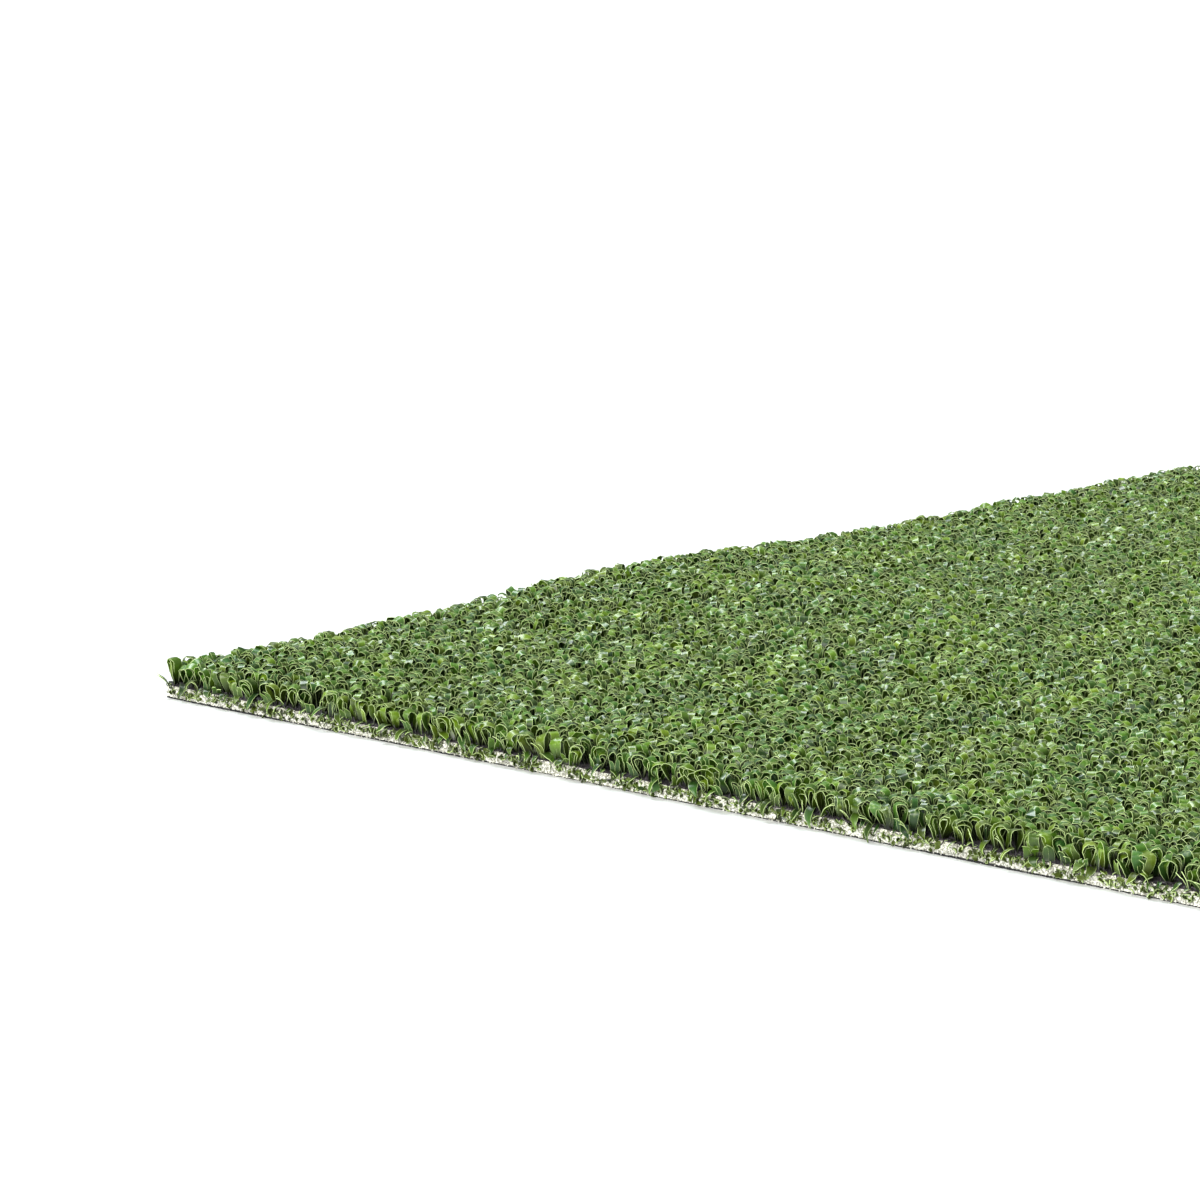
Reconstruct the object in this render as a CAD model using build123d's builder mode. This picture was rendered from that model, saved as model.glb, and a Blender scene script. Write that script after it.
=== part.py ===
from build123d import *

import os

os.makedirs("parts", exist_ok=True)

# A golf hitting mat, lying flat with its pile upwards. The long side is along X and the short
# side along Y. The origin is the middle of the underside. All sizes are in millimetres.

inch = 25.4

# Plan size of the mat, cut square through every layer.
mat_length = 48 * inch
mat_width = 36 * inch

# Thickness of each layer, from the floor up.
base_thickness = 0.8
foam_thickness = 4.6
coat_thickness = 1.8
backing_thickness = 0.8
pile_height = 14.0

# The pile is tufted in rows along Y. Each row is one continuous tape yarn, looped up and down
# through the backing, and it stands here as a wall as thick as the tape is wide. The walls of
# a group share a low foot, where neighbouring loops crowd together on the backing.
row_gauge = inch / 4
row_thickness = 5.0
row_crown = 2.2
foot_height = 2.0
rows_per_group = 8
row_groups = round(mat_length / row_gauge / rows_per_group)

# Heights at which the layers meet.
foam_bottom = base_thickness
coat_bottom = foam_bottom + foam_thickness
backing_bottom = coat_bottom + coat_thickness
pile_bottom = backing_bottom + backing_thickness


# Base cloth: the thin black film-backed cloth that lies on the floor.
with BuildPart() as base_cloth:
    with BuildSketch(Plane.XY):
        Rectangle(mat_length, mat_width)
    extrude(amount=base_thickness)
base_cloth.part.label = "base_cloth"
export_step(base_cloth.part, "parts/base_cloth.step")


# Foam pad: the cream cushion that takes the blow of the club.
with BuildPart() as foam_pad:
    with BuildSketch(Plane.XY.offset(foam_bottom)):
        Rectangle(mat_length, mat_width)
    extrude(amount=foam_thickness)
foam_pad.part.label = "foam_pad"
export_step(foam_pad.part, "parts/foam_pad.step")


# Latex coat: the cream bond that locks the back stitches of the tufts and holds the pad on.
with BuildPart() as latex_coat:
    with BuildSketch(Plane.XY.offset(coat_bottom)):
        Rectangle(mat_length, mat_width)
    extrude(amount=coat_thickness)
latex_coat.part.label = "latex_coat"
export_step(latex_coat.part, "parts/latex_coat.step")


# Primary backing: the black woven cloth that the loops are tufted through.
with BuildPart() as primary_backing:
    with BuildSketch(Plane.XY.offset(backing_bottom)):
        Rectangle(mat_length, mat_width)
    extrude(amount=backing_thickness)
primary_backing.part.label = "primary_backing"
export_step(primary_backing.part, "parts/primary_backing.step")


# Tuft rows: each group is a run of neighbouring rows, side by side along X.
group_length = rows_per_group * row_gauge

for group in range(row_groups):
    group_middle = -mat_length / 2 + (group + 0.5) * group_length
    group_name = f"tuft_rows_{group + 1:02d}"
    with BuildPart() as tuft_rows:
        with BuildSketch(Plane((group_middle, 0, pile_bottom))):
            Rectangle(group_length, mat_width)
        extrude(amount=foot_height)
        with BuildSketch(Plane((group_middle, 0, pile_bottom + foot_height))):
            with GridLocations(row_gauge, 0, rows_per_group, 1):
                Rectangle(row_thickness, mat_width)
        extrude(amount=pile_height - foot_height)
        row_tops = tuft_rows.edges().filter_by(Axis.Y).group_by(Axis.Z)[-1]
        fillet(row_tops, radius=row_crown)
    tuft_rows.part.label = group_name
    export_step(tuft_rows.part, f"parts/{group_name}.step")
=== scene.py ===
import math
from collections import namedtuple

import bpy
import numpy as np
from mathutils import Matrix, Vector


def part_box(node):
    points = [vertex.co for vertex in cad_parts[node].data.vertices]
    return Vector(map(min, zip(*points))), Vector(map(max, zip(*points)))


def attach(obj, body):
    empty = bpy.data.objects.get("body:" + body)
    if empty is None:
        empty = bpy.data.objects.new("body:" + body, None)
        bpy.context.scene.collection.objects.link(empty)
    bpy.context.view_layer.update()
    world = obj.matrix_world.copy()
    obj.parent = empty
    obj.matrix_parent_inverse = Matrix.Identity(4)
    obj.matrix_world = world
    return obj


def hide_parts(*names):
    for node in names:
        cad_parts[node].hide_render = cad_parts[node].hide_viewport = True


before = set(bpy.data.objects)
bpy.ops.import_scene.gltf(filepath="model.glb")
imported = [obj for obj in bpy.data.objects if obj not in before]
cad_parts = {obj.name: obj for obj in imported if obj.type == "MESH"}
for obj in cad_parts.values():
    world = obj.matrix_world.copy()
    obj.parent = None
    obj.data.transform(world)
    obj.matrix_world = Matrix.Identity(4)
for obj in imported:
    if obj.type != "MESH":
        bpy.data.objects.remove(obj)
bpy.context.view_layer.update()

# The looks of a golf hitting mat: green tape loops in a black woven backing, on a cream latex
# and foam cushion with a thin black base cloth. Sizes are in metres, in the frame's own axes,
# unless a comment says mm.

MM = 0.001
rng = np.random.default_rng(20)


# ---------------------------------------------------------------- places taken from the frame

base_low, base_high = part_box("base_cloth")
foam_low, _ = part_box("foam_pad")
_, coat_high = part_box("latex_coat")
_, backing_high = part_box("primary_backing")
first_low, first_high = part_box("tuft_rows_01")

ROWS_PER_GROUP = 8
groups = sorted(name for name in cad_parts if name.startswith("tuft_rows_"))
row_gauge = (first_high.x - first_low.x) / ROWS_PER_GROUP
mat_low = np.array([base_low.x, base_low.y])
mat_high = np.array([base_high.x, base_high.y])
mat_length, mat_width = mat_high - mat_low
stitch_count = round(mat_width / row_gauge)
stitch_pitch = mat_width / stitch_count
pile_bottom = backing_high.z
pile_height = first_high.z - pile_bottom


# ---------------------------------------------------------------- camera

view_heading = math.radians(42.5)
view_pitch = math.radians(10.45)
view_height = 0.509
corner_ahead = 2.454
corner_right = -0.2465
view_lens = 132.0

ahead = np.array([math.cos(view_heading), math.sin(view_heading)])
right = np.array([ahead[1], -ahead[0]])
corner = np.array([mat_low[0], mat_high[1]])
eye_place = corner - ahead * corner_ahead - right * corner_right

camera_data = bpy.data.cameras.new("camera")
camera_data.lens = view_lens
camera_data.sensor_width = 36.0
camera_data.clip_end = 100.0
camera = bpy.data.objects.new("camera", camera_data)
camera.location = (eye_place[0], eye_place[1], view_height)
camera.rotation_euler = (math.pi / 2 - view_pitch, 0, view_heading - math.pi / 2)
bpy.context.scene.collection.objects.link(camera)
bpy.context.scene.camera = camera


# ---------------------------------------------------------------- node helpers

def new_material(name):
    """A material with an empty tree but for its Principled shader, and that shader."""
    material = bpy.data.materials.new(name)
    material.use_nodes = True
    return material, material.node_tree.nodes["Principled BSDF"]


def link(material, source, socket):
    material.node_tree.links.new(source, socket)


def add_node(material, kind, *sources, **settings):
    """A new node whose first inputs take the sources, which are sockets or plain values."""
    made = material.node_tree.nodes.new(kind)
    for name, value in settings.items():
        setattr(made, name, value)
    for socket, source in zip(made.inputs, sources):
        if isinstance(source, bpy.types.NodeSocket):
            link(material, source, socket)
        elif source is not None:
            socket.default_value = source
    return made


def maths(material, operation, *sources):
    return add_node(material, "ShaderNodeMath", *sources, operation=operation).outputs[0]


def ramp(material, factor, stops):
    """A colour ramp through stops of (place, colour)."""
    made = add_node(material, "ShaderNodeValToRGB", factor)
    elements = made.color_ramp.elements
    while len(elements) < len(stops):
        elements.new(1.0)
    for element, (place, colour) in zip(elements, stops):
        element.position = place
        element.color = (*colour, 1.0)
    return made.outputs["Color"]


def mix_colour(material, factor, first, second, blend="MIX"):
    """Two colours mixed by a factor. Each of the three is a socket or a plain value."""
    made = add_node(material, "ShaderNodeMix", data_type="RGBA", blend_type=blend)
    factor_socket, first_socket, second_socket = made.inputs[0], made.inputs[6], made.inputs[7]
    for socket, source in ((factor_socket, factor), (first_socket, first), (second_socket, second)):
        if isinstance(source, bpy.types.NodeSocket):
            link(material, source, socket)
        else:
            socket.default_value = source if socket.type == "VALUE" else (*source, 1.0)
    return made.outputs[2]


def between(material, value, low, high, to_low=0.0, to_high=1.0):
    """The value, mapped from the range low to high onto to_low to to_high, and held at its ends."""
    return add_node(material, "ShaderNodeMapRange", value, low, high, to_low, to_high).outputs[0]


def noise(material, vector, scale, detail=3.0, roughness=0.5):
    made = add_node(material, "ShaderNodeTexNoise")
    link(material, vector, made.inputs["Vector"])
    made.inputs["Scale"].default_value = scale
    made.inputs["Detail"].default_value = detail
    made.inputs["Roughness"].default_value = roughness
    return made.outputs[0]


def bump(material, shader, height, strength, distance):
    made = add_node(material, "ShaderNodeBump")
    made.inputs["Strength"].default_value = strength
    made.inputs["Distance"].default_value = distance
    link(material, height, made.inputs["Height"])
    link(material, made.outputs[0], shader.inputs["Normal"])


def place_of(material):
    return add_node(material, "ShaderNodeTexCoord").outputs["Object"]


# ---------------------------------------------------------------- materials

# The greens of the tapes, as (hue from 0 to 1, colour): from deep green to yellow olive.
TAPE_GREENS = (
    (0.00, (0.034, 0.118, 0.020)),
    (0.35, (0.074, 0.186, 0.012)),
    (0.70, (0.155, 0.255, 0.010)),
    (1.00, (0.215, 0.300, 0.028)),
)
# The pale colour of the cut edges, partly a painted highlight, which the scuffs share.
CUT_EDGE_AND_HIGHLIGHT_COLOUR = (0.76, 0.95, 0.40)
# How bright the darkest and the brightest tapes are, the streaks in them, and the painted shade at their
# feet.
TAPE_SHADES = (0.29, 1.17)
STREAK_SHADES = (0.75, 1.25)
FOOT_PAINTED_SHADE = 0.06
# Where the pale cut edge, partly the tape's own paler edge and partly a painted highlight, starts on
# the least pale and the palest tapes, from 0 at the middle to 1 at the edge, over what width it fades
# in, how strong it is on them, and how strong at their feet, where painted shade dims it.
RIM_STARTS = (0.95, 0.88)
RIM_FADE = 0.03
RIM_STRENGTHS = (0.85, 1.0)
PAINTED_SHADE_FOOT_RIM_STRENGTH = 0.1
# How fine the scuffs of the crests are, and how strong.
SCUFF_SCALE = 420.0
SCUFF_STRENGTH = 0.35


def tape_brightness(material, along, across, crest, shade):
    """How bright a tape is: by its own shade, with fine lengthwise streaks, and darkened towards its feet
    by painted shade.
    """
    streak_place = add_node(material, "ShaderNodeCombineXYZ",
                            maths(material, "MULTIPLY", along, 0.25),
                            maths(material, "MULTIPLY", across, 3.0),
                            maths(material, "MULTIPLY", shade, 90.0)).outputs[0]
    streaks = noise(material, streak_place, 1.6, 3.0, 0.6)
    brightness = maths(material, "MULTIPLY", between(material, shade, 0.0, 1.0, *TAPE_SHADES),
                       between(material, streaks, 0.3, 0.7, *STREAK_SHADES))
    return maths(material, "MULTIPLY", brightness, between(material, crest, 0.08, 0.8, FOOT_PAINTED_SHADE, 1.0))


def cut_rims_and_painted_highlights(material, across, crest, paleness):
    """Where a tape shows pale cut edges, partly own colour and partly painted highlight; wider and paler
    on some tapes, dimmed at the feet by painted shade.
    """
    start = between(material, paleness, 0.0, 1.0, *RIM_STARTS)
    end = maths(material, "ADD", start, RIM_FADE)
    rims = between(material, maths(material, "ABSOLUTE", across), start, end)
    rims = maths(material, "MULTIPLY", rims, between(material, paleness, 0.0, 1.0, *RIM_STRENGTHS))
    return maths(material, "MULTIPLY", rims, between(material, crest, 0.1, 0.6, PAINTED_SHADE_FOOT_RIM_STRENGTH, 1.0))


def scuffed_crests(material, crest):
    """Where play has scuffed the crest of a loop, in blotches."""
    blotches = noise(material, place_of(material), SCUFF_SCALE, 3.0, 0.6)
    scuffs = between(material, blotches, 0.52, 0.72, 0.0, SCUFF_STRENGTH)
    return maths(material, "MULTIPLY", scuffs, between(material, crest, 0.6, 1.0))


def make_tape():
    """Glossy green slit tape with pale cut edges that carry a painted highlight, fine streaks, scuffed
    crests, and painted shade at its feet.
    """
    material, shader = new_material("loop_tape")
    place = add_node(material, "ShaderNodeAttribute", attribute_name="tape_place").outputs["Vector"]
    tint = add_node(material, "ShaderNodeAttribute", attribute_name="tape_tint").outputs["Vector"]
    along, across, crest = add_node(material, "ShaderNodeSeparateXYZ", place).outputs
    hue, shade, paleness = add_node(material, "ShaderNodeSeparateXYZ", tint).outputs
    brightness = tape_brightness(material, along, across, crest, shade)
    grey = add_node(material, "ShaderNodeCombineColor", brightness, brightness, brightness).outputs[0]
    green = mix_colour(material, 1.0, ramp(material, hue, TAPE_GREENS), grey, "MULTIPLY")
    # Pale cut edges, partly their own colour and partly a painted highlight, and the scuffs.
    pale = maths(material, "MAXIMUM", cut_rims_and_painted_highlights(material, across, crest, paleness),
                 scuffed_crests(material, crest))
    link(material, mix_colour(material, pale, green, CUT_EDGE_AND_HIGHLIGHT_COLOUR), shader.inputs["Base Color"])
    shader.inputs["Roughness"].default_value = 0.34
    shader.inputs["Specular IOR Level"].default_value = 0.5
    return material


def make_cream(name, crumb_size, clean, gap_shade_and_stain_colour):
    """Matt cream rubber, crumbly where it was cut, with painted shade in the gaps between the crumbs and a
    few stains.
    """
    material, shader = new_material(name)
    place = place_of(material)
    crumbs = add_node(material, "ShaderNodeTexVoronoi", feature="F1")
    link(material, place, crumbs.inputs["Vector"])
    crumbs.inputs["Scale"].default_value = 1 / crumb_size
    gaps = between(material, crumbs.outputs["Distance"], 0.50, 0.76)
    stains = between(material, noise(material, place, 220.0, 4.0, 0.65), 0.54, 0.70)
    # Painted shade in the gaps between the crumbs, and real stains in blotches.
    gap_shade_and_stains = maths(material, "MAXIMUM", maths(material, "MULTIPLY", gaps, 0.7),
                 maths(material, "MULTIPLY", stains, 0.3))
    link(material, mix_colour(material, gap_shade_and_stains, clean, gap_shade_and_stain_colour), shader.inputs["Base Color"])
    shader.inputs["Roughness"].default_value = 0.85
    shader.inputs["Specular IOR Level"].default_value = 0.3
    bump(material, shader, maths(material, "SUBTRACT", 1.0, gaps), 1.0, 0.5 * MM)
    return material


def make_black_cloth(name, strand, colour, worn):
    """Matt black cloth woven of flat strands, with a little dust."""
    material, shader = new_material(name)
    place = place_of(material)
    x, y, _ = add_node(material, "ShaderNodeSeparateXYZ", place).outputs
    warp = maths(material, "SINE", maths(material, "MULTIPLY", x, math.pi / strand))
    weft = maths(material, "SINE", maths(material, "MULTIPLY", y, math.pi / strand))
    weave = maths(material, "MULTIPLY", warp, weft)
    dust = between(material, noise(material, place, 300.0, 4.0, 0.6), 0.45, 0.75)
    link(material, mix_colour(material, dust, colour, worn), shader.inputs["Base Color"])
    link(material, between(material, weave, -1.0, 1.0, 0.6, 0.9), shader.inputs["Roughness"])
    bump(material, shader, weave, 0.5, 0.15 * MM)
    return material


tape_material = make_tape()
coat_material = make_cream("latex_coat", 1.3 * MM, (1.0, 0.98, 0.86), (0.16, 0.16, 0.06))
foam_material = make_cream("foam_pad", 1.1 * MM, (1.0, 0.99, 0.91), (0.22, 0.21, 0.12))
fibre_material = make_black_cloth("frayed_fibres", 1.3 * MM, (0.020, 0.016, 0.022), (0.20, 0.18, 0.19))
backing_material = make_black_cloth("primary_backing", 1.3 * MM,
                                    (0.022, 0.017, 0.022), (0.07, 0.055, 0.06))
base_material = make_black_cloth("base_cloth", 1.0 * MM, (0.008, 0.008, 0.010), (0.035, 0.035, 0.038))


# ---------------------------------------------------------------- meshes from arrays

SHARP_ANGLE = math.radians(60)
FLOOR_GAP = 0.05 * MM
UPWARD = np.array([0, 0, 1.0])

# The far long edge is buckled up in a low hump, this high and wide, about a third of the way along.
edge_lift = 7.0 * MM
lift_middle = mat_low[0] + 0.31 * mat_length
lift_spread = 105 * MM


def off_the_floor(points):
    """How far the mat's buckled long edge lifts each point, fading to nothing at the other long edge."""
    bulge = np.exp(-0.5 * ((points[:, 0] - lift_middle) / lift_spread) ** 2)
    return edge_lift * bulge * np.maximum(points[:, 1] - mat_low[1], 0) / mat_width


def above_floor(points):
    """The points, with any that would go below the floor held just above it."""
    points[..., 2] = np.maximum(points[..., 2], base_low.z + FLOOR_GAP)
    return points


def make_piece(name, points, faces, material, node=None, smooth=True, attributes=(), uv=None):
    """A mesh piece that rides on the mat's one body. faces is a list of vertex index arrays."""
    points[:, 2] += off_the_floor(points)
    mesh = bpy.data.meshes.new(name)
    mesh.vertices.add(len(points))
    mesh.vertices.foreach_set("co", np.ascontiguousarray(points, np.float32).ravel())
    corners = np.concatenate([f.ravel() for f in faces]).astype(np.int32)
    sizes = np.concatenate([np.full(len(f), f.shape[1], np.int32) for f in faces])
    starts = np.concatenate([[0], np.cumsum(sizes)[:-1]]).astype(np.int32)
    mesh.loops.add(len(corners))
    mesh.loops.foreach_set("vertex_index", corners)
    mesh.polygons.add(len(sizes))
    mesh.polygons.foreach_set("loop_start", starts)
    mesh.polygons.foreach_set("use_smooth", np.full(len(sizes), smooth))
    for attribute, values in attributes:
        made = mesh.attributes.new(attribute, "FLOAT_VECTOR", "POINT")
        made.data.foreach_set("vector", np.ascontiguousarray(values, np.float32).ravel())
    if uv is not None:
        made = mesh.uv_layers.new(name="OFBake")
        made.uv.foreach_set("vector", np.ascontiguousarray(uv, np.float32).ravel())
    mesh.materials.append(material)
    mesh.update(calc_edges=True)
    if smooth:
        mesh.set_sharp_from_angle(angle=SHARP_ANGLE)
    piece = bpy.data.objects.new(name, mesh)
    bpy.context.scene.collection.objects.link(piece)
    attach(piece, "root")
    if node:
        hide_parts(node)
    return piece


def unit(vectors):
    return vectors / np.maximum(np.linalg.norm(vectors, axis=-1, keepdims=True), 1e-12)


def in_space(flat, z):
    """Plan vectors (n, 2) with heights z, or with the one height z."""
    return np.concatenate([flat, np.broadcast_to(z, (len(flat),))[:, None]], 1)


# ---------------------------------------------------------------- tapes

# A tape's section, as (side, face, crease): side runs from one cut edge to the other, face is the
# lower or upper face, and crease is how far the middle stands out of line with the edges.
FLAT_SECTION = ((-1, -1, 0), (-1, 1, 0), (1, 1, 0), (1, -1, 0))
CREASED_SECTION = ((-1, -1, 0), (-1, 1, 0), (0, 1, 1), (1, 1, 0), (1, -1, 0), (0, -1, 1))
# The quads that close a tape's end, by the number of corners in its section.
END_CAPS = {4: np.array([[0, 1, 2, 3]]), 6: np.array([[0, 1, 2, 5], [2, 3, 4, 5]])}
# The room a cut edge gets in the UV map, where half a face gets 1, and a tape's part of its cell.
UNROLLED_RIM = 0.12
CELL_MARGIN = 0.04
CELL_FILL = 0.92


def swept(centre, across, half_width, thickness, crease, section):
    """The points of tapes whose section is swept along centre, as (tapes, stations, sides, 3)."""
    tangent = unit(np.gradient(centre, axis=1))
    normal = unit(np.cross(tangent, across))
    across = np.cross(normal, tangent)
    side, face, fold = section.T[:, None, None, :]
    sideways = side * half_width[..., None]
    outwards = face * thickness[:, None, None] / 2 + fold * crease[:, None, None]
    return (centre[:, :, None] + across[:, :, None] * sideways[..., None]
            + normal[:, :, None] * outwards[..., None])


def tape_quads(sides, stations):
    """The quads of one closed tape, whose points are numbered station by station."""
    ring, level = np.arange(sides)[None, :], np.arange(stations - 1)[:, None]
    near, far = level * sides + ring, level * sides + (ring + 1) % sides
    walls = np.stack([near, near + sides, far + sides, far], -1).reshape(-1, 4)
    cap = END_CAPS[sides]
    return np.concatenate([walls, cap, (stations - 1) * sides + cap[:, ::-1]])


def section_unrolled(section):
    """Where each corner of the section lies once unrolled, from 0 to 1, and the end of the seam."""
    following = np.roll(section, -1, 0)
    at_edge = section[:, 0] == following[:, 0]
    widths = np.where(at_edge, UNROLLED_RIM, np.abs(section[:, 0] - following[:, 0]))
    return np.concatenate([[0], np.cumsum(widths)]) / widths.sum()


def tape_unrolled(section, stations):
    """Where the corners of one tape's quads lie in its cell of the UV map, from 0 to 1."""
    unrolled = section_unrolled(section)
    level = np.arange(stations - 1)[:, None]
    left, right, low = np.broadcast_arrays(unrolled[:-1], unrolled[1:], level)
    walls = np.stack([np.stack([left, left, right, right], -1),
                      np.stack([low, low + 1, low + 1, low], -1) / (stations - 1)], -1).reshape(-1, 4, 2)
    cap = END_CAPS[len(section)]
    near_cap = np.stack([unrolled[cap], np.zeros(cap.shape)], -1)
    far_cap = np.stack([unrolled[cap[:, ::-1]], np.ones(cap.shape)], -1)
    return np.concatenate([walls, near_cap, far_cap])


class Tapes:
    """Collects closed tapes, which become one mesh with a cell of the UV map for each tape."""

    def __init__(self):
        self.points, self.quads = [], []
        self.places, self.tints = [], []
        self.cells, self.unrolled = [], []
        self.point_count = 0
        self.tape_count = 0

    def add(self, centre, across, half_width, thickness, crease, section, tint, crest):
        """Adds tapes along centre (tapes, stations, 3), with half_width (tapes, stations) to each side.

        tint is (hue, shade, paleness) for each tape. crest is (tapes, stations), from 0 at the feet of
        a loop to 1 at its crest; the tape material paints shade by it, darkest at the feet.
        """
        tapes, stations, _ = centre.shape
        section = np.array(section, float)
        sides = len(section)
        points = above_floor(swept(centre, across, half_width, thickness, crease, section))
        steps = np.linalg.norm(np.diff(centre, axis=1), axis=2)
        place = np.empty((tapes, stations, sides, 3))
        place[..., 0] = np.concatenate([np.zeros((tapes, 1)), np.cumsum(steps, 1)], 1)[..., None] / MM
        place[..., 1] = section[:, 0]
        place[..., 2] = crest[..., None]
        quads = tape_quads(sides, stations)
        first = self.point_count + np.arange(tapes)[:, None, None] * stations * sides
        cell = self.tape_count + np.arange(tapes)

        self.points.append(points.reshape(-1, 3))
        self.quads.append((first + quads).reshape(-1, 4))
        self.places.append(place.reshape(-1, 3))
        self.tints.append(np.broadcast_to(tint[:, None, :], (tapes, stations * sides, 3)).reshape(-1, 3))
        self.cells.append(np.repeat(cell, len(quads) * 4))
        self.unrolled.append(np.tile(tape_unrolled(section, stations).reshape(-1, 2), (tapes, 1)))
        self.point_count += tapes * stations * sides
        self.tape_count += tapes

    def build(self, name, node=None, material=None):
        """One mesh piece of all the tapes, with their cells in a square grid."""
        grid = math.ceil(math.sqrt(self.tape_count))
        cells = np.concatenate(self.cells)
        grid_place = np.stack([cells % grid, cells // grid], -1)
        uv = (grid_place + CELL_MARGIN + CELL_FILL * np.concatenate(self.unrolled)) / grid
        attributes = (("tape_place", np.concatenate(self.places)),
                      ("tape_tint", np.concatenate(self.tints)))
        return make_piece(name, np.concatenate(self.points), [np.concatenate(self.quads)],
                          material or tape_material, node, attributes=attributes, uv=uv)


# ---------------------------------------------------------------- the pile's loops

def waves(count, shortest, longest):
    """A smooth random height field over the mat, of about unit size, as a function of x and y."""
    length = rng.uniform(shortest, longest, count)
    way = rng.uniform(0, 2 * math.pi, count)
    phase = rng.uniform(0, 2 * math.pi, count)

    def height(x, y):
        run = x[..., None] * np.cos(way) + y[..., None] * np.sin(way)
        return np.sin(2 * math.pi * run / length + phase).sum(-1) / math.sqrt(count / 2)

    return height


clumps = waves(24, 25 * MM, 70 * MM)
hue_patches = waves(24, 40 * MM, 160 * MM)

# Where the stations of a loop stand along its tape, from foot to foot: close together over the crest.
OUTER_LOOP = np.array([0.03, 0.28, 0.39, 0.465, 0.535, 0.61, 0.72, 0.97])
INNER_LOOP = np.array([0.03, 0.34, 0.455, 0.545, 0.66, 0.97])
RIM_LOOP = np.array([0.03, 0.13, 0.23, 0.32, 0.39, 0.45, 0.50, 0.55, 0.61, 0.68, 0.77, 0.87, 0.97])
# By what power a loop narrows to its feet, and how far below the pile they start.
TEARDROP = 2.0
FOOT_DEPTH = 0.6 * MM
teardrop_peak = max(math.sin(a) * math.sin(a / 2) ** TEARDROP for a in np.linspace(0, math.pi, 400))

TuftStyle = namedtuple("TuftStyle", (
    "lowered",         # how far the loops stay below the pile height, mm
    "uneven",          # how far the height varies from tuft to tuft, mm
    "clumped",         # how far the height varies in clumps, mm
    "width",           # how wide the outer loop is, mm
    "large_share",     # the share of tufts with wider loops
    "tape_width",      # mm
    "nested",          # the chance of each tape of the tuft, from the outer one inwards
    "outer_stations",
    "inner_stations",
    "section",
    "olive",           # how far the hue is shifted to olive
    "palest",          # how pale a cut edge gets
    # shadow is how steeply painted shade darkens a loop towards its feet
    "shadow",          # how steeply a loop darkens towards its feet
))
RIM_TUFTS = TuftStyle(
    lowered=2.1, uneven=0.45, clumped=0.3, width=6.0, large_share=0.0, tape_width=4.7,
    nested=(1.0, 0.8, 0.5), outer_stations=RIM_LOOP, inner_stations=RIM_LOOP,
    section=CREASED_SECTION, olive=0.10, palest=0.35, shadow=1.1)
FIELD_TUFTS = TuftStyle(
    lowered=1.0, uneven=0.60, clumped=0.45, width=5.3, large_share=0.05, tape_width=3.9,
    nested=(1.0, 0.80, 0.38), outer_stations=OUTER_LOOP, inner_stations=INNER_LOOP,
    section=FLAT_SECTION, olive=0.0, palest=1.0, shadow=3.2)

# Some tufts are trodden low by this much, in mm. Those at the mat's corners stand tall. The rises are
# how far they, and at most the others, stand above the pile height, in mm.
LOW_SHARE = 0.10
LOW_BY = (1.0, 3.0)
CORNER_RISE = 1.2
MOST_RISE = 0.2
# A large tuft is this much wider, and a loop nested in another is one of these shares of its width.
LARGER = 1.3
NESTED_SHARES = [0.88, 0.68]

# The hue of most tapes, and the share and the hues of a few odd ones, on the scale of TAPE_GREENS.
USUAL_HUE = 0.40
ODD_SHARE = 0.04
ODD_HUES = (0.65, 0.90)


def random_tint(x, y, shift=0.0, palest=1.0):
    """Hue, shade and rim paleness, up to palest, for the tapes at these places."""
    count = len(x)
    hue = USUAL_HUE + shift + 0.17 * rng.standard_normal(count) + 0.08 * hue_patches(x, y)
    hue = np.clip(hue, 0, 1)
    odd = rng.random(count) < ODD_SHARE
    hue[odd] = rng.uniform(*ODD_HUES, odd.sum())
    return np.stack([hue, rng.random(count), palest * rng.random(count)], -1)


def add_loops(tapes, x, y, height, width, heading, lean, tape_width, stations, style):
    """Adds a teardrop loop of tape at each place, with its crest off its foot by lean in x and y."""
    count = len(x)
    turn = 2 * math.pi * stations[None, :]
    rise = (1 - np.cos(turn)) / 2
    swing = np.cos(turn / 2)
    teardrop = np.sin(turn) * np.sin(turn / 2) ** TEARDROP / teardrop_peak
    gap = rng.uniform(0.25, 0.8, (count, 1)) * MM
    out = 0.5 * width[:, None] * teardrop + gap * swing
    spiral = rng.normal(0, 0.9, (count, 1)) * MM * swing
    twist = rng.normal(0, math.radians(20), (count, 1))
    angle = heading[:, None] + twist * (rise - 0.5)
    cosine, sine = np.cos(angle), np.sin(angle)
    sway = rise ** 1.6
    kink = rng.normal(0, 0.18 * MM, (count, len(stations), 3))
    centre = np.stack([
        x[:, None] + out * cosine - spiral * sine + lean[:, 0, None] * sway,
        y[:, None] + out * sine + spiral * cosine + lean[:, 1, None] * sway,
        pile_bottom - FOOT_DEPTH + (height[:, None] + FOOT_DEPTH) * rise ** 0.85,
    ], -1) + kink
    flat_across = np.stack([-sine, cosine, np.zeros_like(sine)], -1)
    tangent = unit(np.gradient(centre, axis=1))
    steady_roll = rng.normal(0, math.radians(14), (count, 1))
    roll = steady_roll + rng.normal(0, math.radians(18), (count, 1)) * swing
    across = (flat_across * np.cos(roll)[..., None]
              + np.cross(tangent, flat_across) * np.sin(roll)[..., None])
    pinch = 0.36 + 0.64 * np.clip(rise * 1.9, 0, 1)
    thickness = rng.uniform(0.14, 0.24, count) * MM
    crease = rng.normal(0, 0.35, count) * MM
    tint = random_tint(x, y, style.olive, style.palest)
    # crest carries the painted shade: the tape material darkens each loop towards its feet by it.
    crest = np.repeat(rise ** style.shadow, count, 0)
    half_width = tape_width[:, None] / 2 * pinch
    tapes.add(centre, across, half_width, thickness, crease, style.section, tint, crest)


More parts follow.
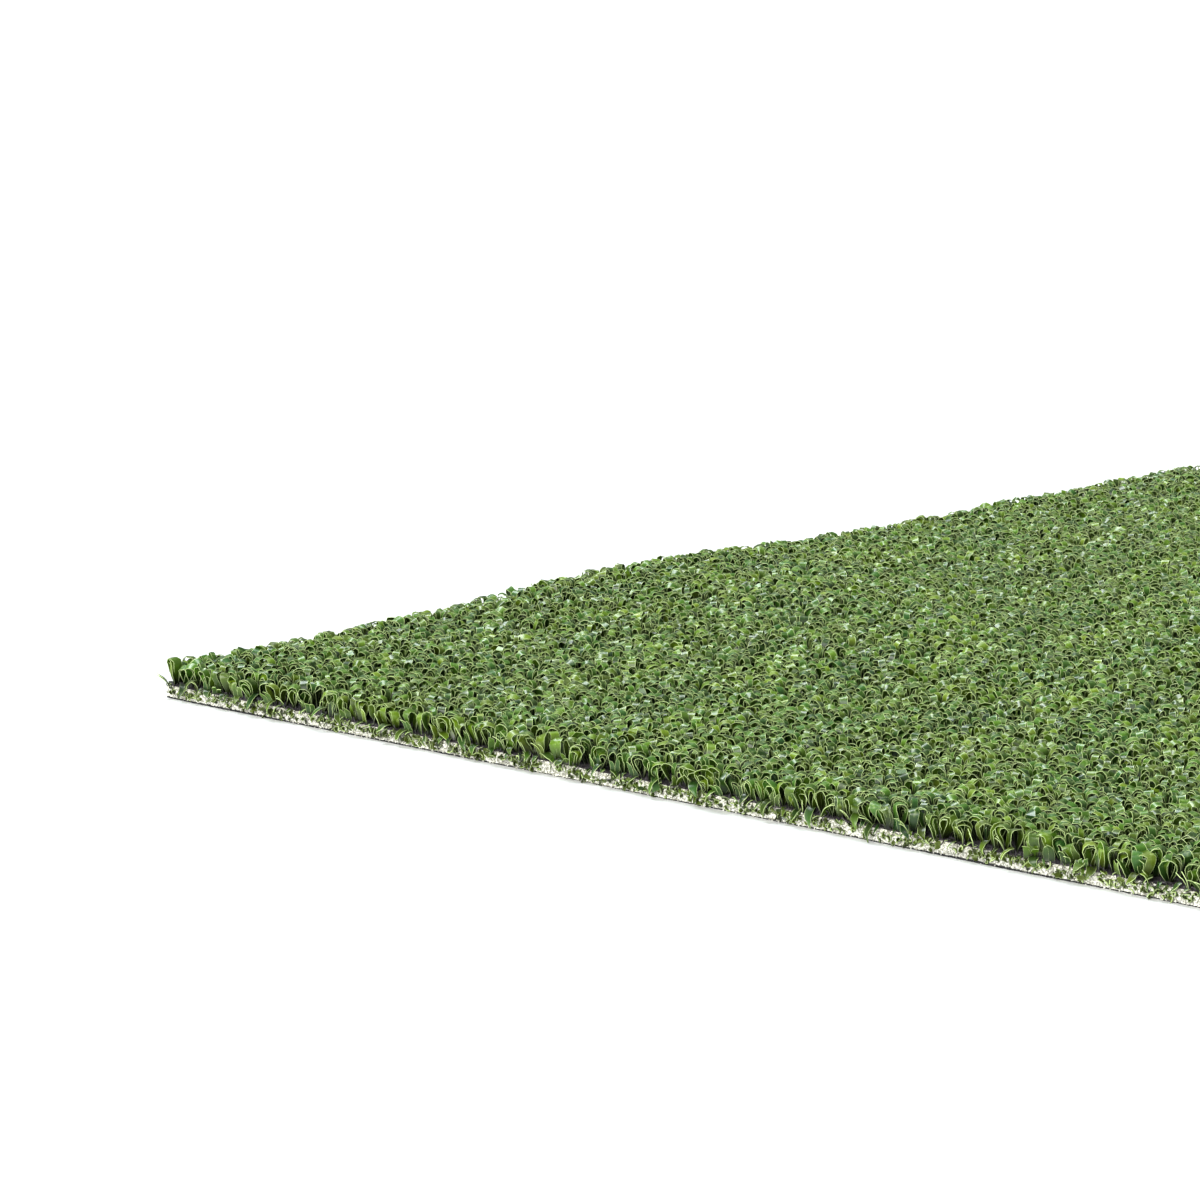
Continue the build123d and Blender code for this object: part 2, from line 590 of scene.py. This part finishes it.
def tuft_heading(count):
    """Loops mostly lie along their row, and many are turned across it by the needle or by play."""
    along_row = rng.random(count) < 0.6
    slightly_turned = rng.normal(math.radians(18), math.radians(30), count)
    any_way = rng.uniform(-math.pi / 2, math.pi / 2, count)
    return math.pi / 2 + np.where(along_row, slightly_turned, any_way)


def tuft_heights(x, y, at_corner, style):
    """How high each tuft stands over the backing."""
    count = len(x)
    height = pile_height - style.lowered * MM
    height = height + (style.uneven * rng.standard_normal(count) + style.clumped * clumps(x, y)) * MM
    low = rng.random(count) < LOW_SHARE
    height[low] -= rng.uniform(*LOW_BY, low.sum()) * MM
    height[at_corner] = pile_height + CORNER_RISE * MM
    return np.minimum(height, pile_height + np.where(at_corner, CORNER_RISE, MOST_RISE) * MM)


def add_tufts(tapes, x, y, outward, style):
    """Adds whole tufts, of one to three loops. outward is the push towards the nearest cut edge."""
    count = len(x)
    at_corner = np.abs(outward).min(1) > 0
    height = tuft_heights(x, y, at_corner, style)
    width = rng.normal(style.width, 0.9, count).clip(3.4, 7.8) * MM
    large = rng.random(count) < style.large_share
    width[large] *= LARGER
    heading = tuft_heading(count)
    lean = rng.normal(0, 1.4, (count, 2)) * MM + outward * rng.uniform(0.3, 2.2, (count, 1)) * MM
    lean[at_corner] *= 0.6
    tape_width = rng.normal(style.tape_width, 0.7, count).clip(2.2, 6.0) * MM
    kept = np.ones(count, bool)
    for ply, chance in enumerate(style.nested):
        kept &= rng.random(count) < chance
        stations = style.inner_stations if ply else style.outer_stations
        add_loops(tapes, x[kept], y[kept], height[kept], width[kept], heading[kept], lean[kept],
                  tape_width[kept], stations, style)
        share = rng.choice(NESTED_SHARES, count)
        height = height * (0.35 + 0.65 * share) + rng.normal(0, 0.5, count) * MM
        width = width * share
        lean = lean * share[:, None] + rng.normal(0, 0.4, (count, 2)) * MM
        heading = heading + rng.normal(0, math.radians(18), count)
        x = x + rng.normal(0, 0.6, count) * MM
        y = y + rng.normal(0, 0.6, count) * MM
        tape_width = tape_width * rng.uniform(0.8, 1.05, count)


# How far stitches stray across and along their row. How deep the cut edge reaches into the pile, how
# far inside the rim its tufts start, and the share of them that the knife left.
ACROSS_JITTER = 0.6 * MM
ALONG_JITTER = 0.9 * MM
EDGE_DEPTH = 6.5 * MM
EDGE_MARGIN = 2.2 * MM
EDGE_SHARE = 0.88


def pile_group(index, node):
    """The loops of one group of rows. Some tufts of the cut edge were lost to the knife."""
    tapes = Tapes()
    rows = index * ROWS_PER_GROUP + np.arange(ROWS_PER_GROUP)
    phase = rng.uniform(-0.5, 0.5, ROWS_PER_GROUP)
    x = mat_low[0] + (rows[:, None] + 0.5) * row_gauge + np.zeros(stitch_count)
    y = mat_low[1] + (np.arange(stitch_count) + 0.5 + phase[:, None]) * stitch_pitch
    x = (x + rng.normal(0, ACROSS_JITTER, x.shape)).ravel()
    y = (y + rng.normal(0, ALONG_JITTER, y.shape)).ravel()
    x = x.clip(mat_low[0] + EDGE_MARGIN, mat_high[0] - EDGE_MARGIN)
    y = y.clip(mat_low[1] + EDGE_MARGIN, mat_high[1] - EDGE_MARGIN)
    place = np.stack([x, y], -1)
    outward = (place > mat_high - EDGE_DEPTH).astype(float) - (place < mat_low + EDGE_DEPTH)
    edge = np.abs(outward).max(1) > 0
    at_corner = np.abs(outward).min(1) > 0
    kept = ~edge | at_corner | (rng.random(len(x)) < EDGE_SHARE)
    x, y, outward, edge = x[kept], y[kept], outward[kept], edge[kept]
    add_tufts(tapes, x[edge], y[edge], outward[edge], RIM_TUFTS)
    add_tufts(tapes, x[~edge], y[~edge], outward[~edge], FIELD_TUFTS)
    return tapes.build(node + "_loops", node=node)


pile_pieces = [pile_group(index, node) for index, node in enumerate(groups)]


# ---------------------------------------------------------------- the cut edge

# The way out of the mat on each of its four sides, in order round the rim.
WAYS_OUT = np.array([(0, -1), (1, 0), (0, 1), (-1, 0)], float)


def rim_places(spacing):
    """Places about spacing apart round the cut edge, with the way out of the mat and the way along."""
    places, outs, ways = [], [], []
    middle = (mat_low + mat_high) / 2
    half = np.abs(mat_high - mat_low) / 2
    for out in WAYS_OUT:
        way = np.array([-out[1], out[0]])
        run = 2 * abs(way @ half)
        count = round(run / spacing)
        along = (np.arange(count) + rng.random(count)) / count * run - run / 2
        places.append(middle + out * abs(out @ half) + along[:, None] * way)
        outs.append(np.repeat(out[None], count, 0))
        ways.append(np.repeat(way[None], count, 0))
    return np.concatenate(places), np.concatenate(outs), np.concatenate(ways)


def spread(limits, count):
    """Random values between the limits, or the one value if the limits are equal."""
    low, high = limits
    return np.full(count, float(low)) if low == high else rng.uniform(low, high, count)


CutEnds = namedtuple("CutEnds", (
    "spacing",       # mm
    "set_back",      # how far inside the rim they start, mm
    "rise",          # how far above the backing they start, mm
    "length",        # mm
    "start_lean",    # outwards from upright, degrees
    "end_lean",      # the same at the free end
    "tape_width",    # mm
    "point_share",   # the share of the length that narrows to a point
    "strands",       # how many strands each one is split into
))
OPENED_LOOPS = CutEnds(
    spacing=13, set_back=(0.0, 1.5), rise=(-0.3, -0.3), length=(8, 13), start_lean=(-15, 20),
    end_lean=(0, 80), tape_width=(4.2, 7.0), point_share=(0.15, 0.4), strands=2)
HANGING_ENDS = CutEnds(
    spacing=17, set_back=(0.8, 0.8), rise=(0.5, 5.0), length=(6, 12), start_lean=(70, 110),
    end_lean=(160, 185), tape_width=(2.6, 5.5), point_share=(0.3, 0.7), strands=1)
SHREDS = CutEnds(
    spacing=8, set_back=(0.4, 0.4), rise=(-0.5, 1.5), length=(2, 7), start_lean=(60, 120),
    end_lean=(140, 190), tape_width=(1.0, 2.6), point_share=(0.3, 0.9), strands=1)
STRIP_STATIONS = 8


def add_strips(tapes, foot, out, way, length, start_lean, end_lean, tape_width, point_share, strands):
    """Adds cut tape ends that leave foot and bend from start_lean to end_lean, outwards from upright.

    Each is split along its length into strands, which part a little and end at different places.
    """
    count = len(foot)
    share = np.linspace(0, 1, STRIP_STATIONS)[None, :]
    turned = rng.normal(0, math.radians(35), count)[:, None]
    tint = random_tint(foot[:, 0], foot[:, 1])
    thickness = rng.uniform(0.20, 0.32, count) * MM
    crease = rng.normal(0, 0.3, count) * MM / strands
    out3, way3 = in_space(out, 0.0)[:, None], in_space(way, 0.0)[:, None]
    facing = out3 * np.cos(turned)[..., None] + way3 * np.sin(turned)[..., None]
    wide = way3 * np.cos(turned)[..., None] - out3 * np.sin(turned)[..., None]
    splay = rng.uniform(0.0, 0.9, count)[:, None]
    bend = (end_lean - start_lean)[:, None]
    strand_width = (tape_width / strands)[:, None]
    taper = np.clip((1 - share) / point_share[:, None], 0.06, 1)
    for strand in range(strands):
        place = strand - (strands - 1) / 2
        strand_length = length * (rng.uniform(0.65, 1.0, count) if strands > 1 else 1.0)
        step = strand_length[:, None] / (STRIP_STATIONS - 1)
        lean = start_lean[:, None] + bend * share + rng.normal(0, 0.12, count)[:, None]
        far = np.cumsum(np.sin(lean) * step, 1) - np.sin(lean[:, :1]) * step
        high = np.cumsum(np.cos(lean) * step, 1) - np.cos(lean[:, :1]) * step
        slant = rng.choice([-1, 1], count)[:, None] * (1 - taper) * strand_width / 2
        aside = place * strand_width * (0.98 + splay * share ** 2) + slant
        centre = foot[:, None] + facing * far[..., None] + wide * aside[..., None]
        centre = centre + UPWARD * high[..., None] + rng.normal(0, 0.08 * MM, centre.shape)
        # The crest rises from the root, so the tape material paints shade at each strip's root.
        tapes.add(centre, np.broadcast_to(wide, centre.shape), strand_width / 2 * taper, thickness, crease,
                  CREASED_SECTION, tint, np.repeat(0.2 + 0.7 * share, count, 0))


def add_cut_ends(tapes, style):
    """Adds cut tape ends of one style all round the rim."""
    rim, out, way = rim_places(style.spacing * MM)
    count = len(rim)
    inward = out * spread(style.set_back, count)[:, None] * MM
    foot = in_space(rim - inward, pile_bottom + spread(style.rise, count) * MM)
    length = spread(style.length, count) * MM
    start_lean = np.radians(spread(style.start_lean, count))
    end_lean = np.radians(spread(style.end_lean, count))
    tape_width = spread(style.tape_width, count) * MM
    point_share = spread(style.point_share, count)
    add_strips(tapes, foot, out, way, length, start_lean, end_lean, tape_width, point_share, style.strands)


def cut_tape_ends():
    """Loops that the knife opened, and ends and shreds that hang over the cushion's cut face."""
    tapes = Tapes()
    for style in (OPENED_LOOPS, HANGING_ENDS, SHREDS):
        add_cut_ends(tapes, style)
    return tapes.build("cut_tape_ends")


BIT_STATIONS = 5


def curled_bits(tapes, middle, out, way, length, half_width, thickness, tint, crest, curl):
    """Adds short curled pieces of tape that lie in the cut face, with their middles at middle."""
    count = len(middle)
    share = np.linspace(-0.5, 0.5, BIT_STATIONS)[None, :]
    angle = rng.uniform(-math.pi, math.pi, count)[:, None] + rng.normal(0, curl, count)[:, None] * share
    along = np.cumsum(np.cos(angle), 1) * length[:, None] / BIT_STATIONS
    upward = np.cumsum(np.sin(angle), 1) * length[:, None] / BIT_STATIONS
    along -= along.mean(1, keepdims=True)
    upward -= upward.mean(1, keepdims=True)
    centre = middle[:, None] + in_space(way, 0.0)[:, None] * along[..., None] + UPWARD * upward[..., None]
    out3 = np.broadcast_to(in_space(out, 0.0)[:, None], centre.shape)
    centre = centre + out3 * (rng.normal(0, 0.5, (count, 1)) * share * length[:, None])[..., None]
    tangent = unit(np.gradient(centre, axis=1))
    face_on = rng.random(count) < 0.7
    roll = np.where(face_on, rng.normal(0, 0.4, count), rng.normal(1.3, 0.3, count))[:, None, None]
    across = out3 * np.cos(roll) + np.cross(tangent, out3) * np.sin(roll)
    tapes.add(centre, across, np.repeat(half_width[:, None], BIT_STATIONS, 1), thickness,
              np.zeros(count), FLAT_SECTION, tint, np.repeat(crest[:, None], BIT_STATIONS, 1))


def in_clumps(rim, shortest, longest, spare):
    """Picks places in clumps along the rim: all of them in a clump, and the spare share elsewhere."""
    wave = waves(12, shortest, longest)
    return rng.random(len(rim)) < np.clip(0.5 + 0.7 * wave(rim[:, 0], rim[:, 1]), spare, 1.0)


# Two bands of back stitches in the cushion's face: (spacing, lowest, highest, spare), where lowest
# and highest are shares of the cushion's height. The upper band is the denser one.
STITCH_BANDS = ((1.2 * MM, 0.35, 1.00, 0.35), (1.3 * MM, 0.00, 0.65, 0.12))
STITCH_CLUMPS = (12 * MM, 60 * MM)
STITCH_HUE_SHIFT = 0.50
STITCH_PALEST = 0.3
STITCH_CURL = 3.4


def stitch_ends():
    """Cut ends of the back stitches, in clumps, that curl a little way out of the cushion's cut face."""
    tapes = Tapes()
    lowest_place = foam_low.z + 0.6 * MM
    height = coat_high.z - foam_low.z - 0.8 * MM
    for spacing, lowest, highest, spare in STITCH_BANDS:
        rim, out, way = rim_places(spacing)
        kept = in_clumps(rim, *STITCH_CLUMPS, spare)
        rim, out, way = rim[kept], out[kept], way[kept]
        count = len(rim)
        level = rng.uniform(lowest, highest, count)
        outward = out * rng.uniform(-0.3, 0.5, count)[:, None] * MM
        middle = in_space(rim + outward, lowest_place + level * height)
        tint = random_tint(rim[:, 0], rim[:, 1], STITCH_HUE_SHIFT, STITCH_PALEST)
        length = rng.uniform(2.0, 6.0, count) * MM
        half_width = rng.uniform(0.6, 1.6, count) * MM
        thickness = rng.uniform(0.35, 0.7, count) * MM
        crest = rng.uniform(0.15, 0.5, count)
        curled_bits(tapes, middle, out, way, length, half_width, thickness, tint, crest, STITCH_CURL)
    return tapes.build("stitch_ends")


# A crumb is a rough octahedron: the ways of its six corners, and its faces.
CRUMB_CORNERS = np.array([(1, 0, 0), (0, 1, 0), (-1, 0, 0), (0, -1, 0), (0, 0, 1), (0, 0, -1)], float)
CRUMB_FACES = np.array([(0, 1, 4), (1, 2, 4), (2, 3, 4), (3, 0, 4),
                        (1, 0, 5), (2, 1, 5), (3, 2, 5), (0, 3, 5)])
# Tiers of crumbs, as (lowest, highest, spacing) in mm, with heights from the floor. Few are on the
# base cloth.
CRUMB_TIERS = ((0.1, 1.0, 4.5), (1.0, 3.6, 0.9), (3.2, 7.0, 0.9))


def cushion_crumbs():
    """Crumbs of torn foam and latex that cling to the cushion's cut face."""
    points = []
    for lowest, highest, spacing in CRUMB_TIERS:
        rim, out, _ = rim_places(spacing * MM)
        count = len(rim)
        size = rng.uniform(0.35, 0.85, count)[:, None] * MM
        outward = out * rng.uniform(-0.5, 0.35, count)[:, None] * MM
        middle = in_space(rim + outward, base_low.z + rng.uniform(lowest, highest, count) * MM)
        reach = size[:, :, None] * rng.uniform(0.55, 1.25, (count, 6, 1))
        dents = rng.normal(0, 0.12 * MM, (count, 6, 3))
        points.append(middle[:, None] + CRUMB_CORNERS * reach + dents)
    points = above_floor(np.concatenate(points))
    faces = (np.arange(len(points))[:, None, None] * 6 + CRUMB_FACES).reshape(-1, 3)
    return make_piece("cushion_crumbs", points.reshape(-1, 3), [faces], foam_material,
                      smooth=False)


FIBRE_SPACING = 1.6 * MM
FIBRE_CURL = 1.8


def frayed_fibres():
    """Thin black fibres that stand out of the cut edge of the primary backing."""
    tapes = Tapes()
    rim, out, way = rim_places(FIBRE_SPACING)
    count = len(rim)
    outward = out * rng.uniform(-0.8, 0.7, count)[:, None] * MM
    middle = in_space(rim + outward, backing_high.z + rng.normal(0.0, 0.7, count) * MM)
    length = rng.uniform(2.0, 5.5, count) * MM
    half_width = rng.uniform(0.09, 0.24, count) * MM
    thickness = rng.uniform(0.12, 0.3, count) * MM
    curled_bits(tapes, middle, out, way, length, half_width, thickness,
                np.zeros((count, 3)), np.zeros(count), FIBRE_CURL)
    return tapes.build("frayed_fibres", material=fibre_material)


# ---------------------------------------------------------------- the layers under the pile

# How many places of the rim each kind of unevenness reaches over, and how many places of a long side
# belong to the wide face at its end.
TEAR_REACH = 1.2
CRUMB_REACH = 0.6
WOBBLE_REACH = 60.0
END_STRIP = 12


def smooth_noise(count, levels, reach):
    """Random values of unit size round a closed run, smoothed over reach places."""
    values = np.fft.rfft(rng.standard_normal((count, levels)), axis=0)
    values *= np.exp(-0.5 * (np.fft.rfftfreq(count)[:, None] * reach * 2) ** 2)
    values = np.fft.irfft(values, count, axis=0)
    return values / values.std()


def ruled_caps(counts, levels):
    """The under and upper faces of a layer.

    Long strips run between its two long sides, and one wide face closes each end.
    """
    long, short = counts[0], counts[1]
    total = 2 * (long + short)
    column = np.arange(END_STRIP, long - END_STRIP)
    opposite = 2 * long + short - column
    strips = np.stack([column, opposite, opposite - 1, column + 1], -1)
    right_end = np.arange(long - END_STRIP, long + short + END_STRIP + 1)[::-1]
    left_end = np.arange(2 * long + short - END_STRIP, total + END_STRIP + 1)[::-1] % total
    under = [strips * levels, right_end[None] * levels, left_end[None] * levels]
    return under + [cap[:, ::-1] + levels - 1 for cap in under]


def rim_run(counts):
    """Even places round the rim, in order, with counts of them on the sides, and the way out at each."""
    corners = np.array([mat_low, (mat_high[0], mat_low[1]), mat_high, (mat_low[0], mat_high[1])])
    around, outs = [], []
    for side, count in enumerate(counts):
        share = np.arange(count)[:, None] / count
        start, end = corners[side], corners[(side + 1) % 4]
        around.append(start + (end - start) * share)
        outs.append(np.repeat(WAYS_OUT[side][None], count, 0))
    return np.concatenate(around), np.concatenate(outs)


def make_layer(name, node, material, levels, step, rough, crumbs, wobble):
    """A closed layer of the mat with a torn rim, of places step mm apart on so many levels.

    rough, crumbs and wobble are how far the rim is torn, crumbly and wavy, in mm.
    """
    low, high = (limit.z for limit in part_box(node))
    step, rough, crumbs, wobble = step * MM, rough * MM, crumbs * MM, wobble * MM
    counts = [round(run / step) for run in (mat_length, mat_width, mat_length, mat_width)]
    around, outs = rim_run(counts)
    count = len(around)
    push = rough * smooth_noise(count, levels, TEAR_REACH) + wobble * smooth_noise(count, 1, WOBBLE_REACH)
    lumps = (np.abs(smooth_noise(count, levels, CRUMB_REACH)) ** 2 - 1).clip(-1, 3)
    push = push + crumbs * lumps - 1.5 * rough
    wall = np.empty((count, levels, 3))
    wall[..., :2] = around[:, None] + outs[:, None] * push[..., None]
    wall[..., 2] = np.linspace(low, high, levels)
    wall[:, 1:-1, 2] += rng.normal(0, (high - low) / levels * 0.25, (count, levels - 2))
    ring, level = np.arange(count)[:, None], np.arange(levels - 1)[None, :]
    here, there = ring * levels + level, (ring + 1) % count * levels + level
    quads = np.stack([here, there, there + 1, here + 1], -1).reshape(-1, 4)
    faces = [quads] + ruled_caps(counts, levels)
    return make_piece(name, wall.reshape(-1, 3), faces, material, node=node, smooth=False)


base_piece = make_layer("base_cloth_woven", "base_cloth", base_material,
                        levels=2, step=1.5, rough=0.2, crumbs=0.0, wobble=0.6)
foam_piece = make_layer("foam_pad_cut", "foam_pad", foam_material,
                        levels=8, step=0.75, rough=0.22, crumbs=0.22, wobble=0.35)
make_layer("latex_coat_cut", "latex_coat", coat_material,
           levels=4, step=0.75, rough=0.22, crumbs=0.22, wobble=0.35)
backing_piece = make_layer("primary_backing_woven", "primary_backing", backing_material,
                           levels=3, step=0.8, rough=0.20, crumbs=0.15, wobble=0.2)
end_piece = cut_tape_ends()
stitch_ends()
fibre_piece = frayed_fibres()
cushion_crumbs()


# ---------------------------------------------------------------- floor and light

FLOOR_REACH = 40.0


def make_floor():
    """A wide, nearly white floor under the mat."""
    material, shader = new_material("floor")
    tone = noise(material, place_of(material), 3.0, 2.0, 0.5)
    colour = mix_colour(material, tone, (0.86, 0.86, 0.87), (0.90, 0.90, 0.90))
    link(material, colour, shader.inputs["Base Color"])
    shader.inputs["Roughness"].default_value = 0.9
    mesh = bpy.data.meshes.new("floor")
    corners = [(x * FLOOR_REACH, y * FLOOR_REACH, 0) for x, y in ((-1, -1), (1, -1), (1, 1), (-1, 1))]
    mesh.from_pydata(corners, [], [(0, 1, 2, 3)])
    mesh.materials.append(material)
    floor = bpy.data.objects.new("floor", mesh)
    floor.location.z = base_low.z
    bpy.context.scene.collection.objects.link(floor)


def make_sun(name, behind, left, up, strength, spread_degrees, colour):
    """A soft sun, placed behind the mat, to its left and up as the camera sees them."""
    toward_back = Vector((ahead[0], ahead[1], 0))
    direction = toward_back * behind + Vector((-right[0] * left, -right[1] * left, up))
    data = bpy.data.lights.new(name, "SUN")
    data.energy = strength
    data.angle = math.radians(spread_degrees)
    data.color = colour
    light = bpy.data.objects.new(name, data)
    light.rotation_euler = (-direction).to_track_quat("-Z", "Y").to_euler()
    bpy.context.scene.collection.objects.link(light)


def make_sky():
    """A dim, slightly blue sky all round."""
    world = bpy.data.worlds.new("world")
    world.use_nodes = True
    background = world.node_tree.nodes["Background"]
    background.inputs["Color"].default_value = (0.93, 0.97, 1.0, 1.0)
    background.inputs["Strength"].default_value = 0.30
    bpy.context.scene.world = world


make_floor()
make_sun("key", behind=0.5, left=0.35, up=1.0, strength=2.75, spread_degrees=26, colour=(0.91, 0.98, 1.0))
make_sun("fill", behind=-0.8, left=0.5, up=0.5, strength=2.9, spread_degrees=40, colour=(1.0, 1.0, 0.95))
make_sky()
bpy.context.scene.view_settings.view_transform = "Standard"
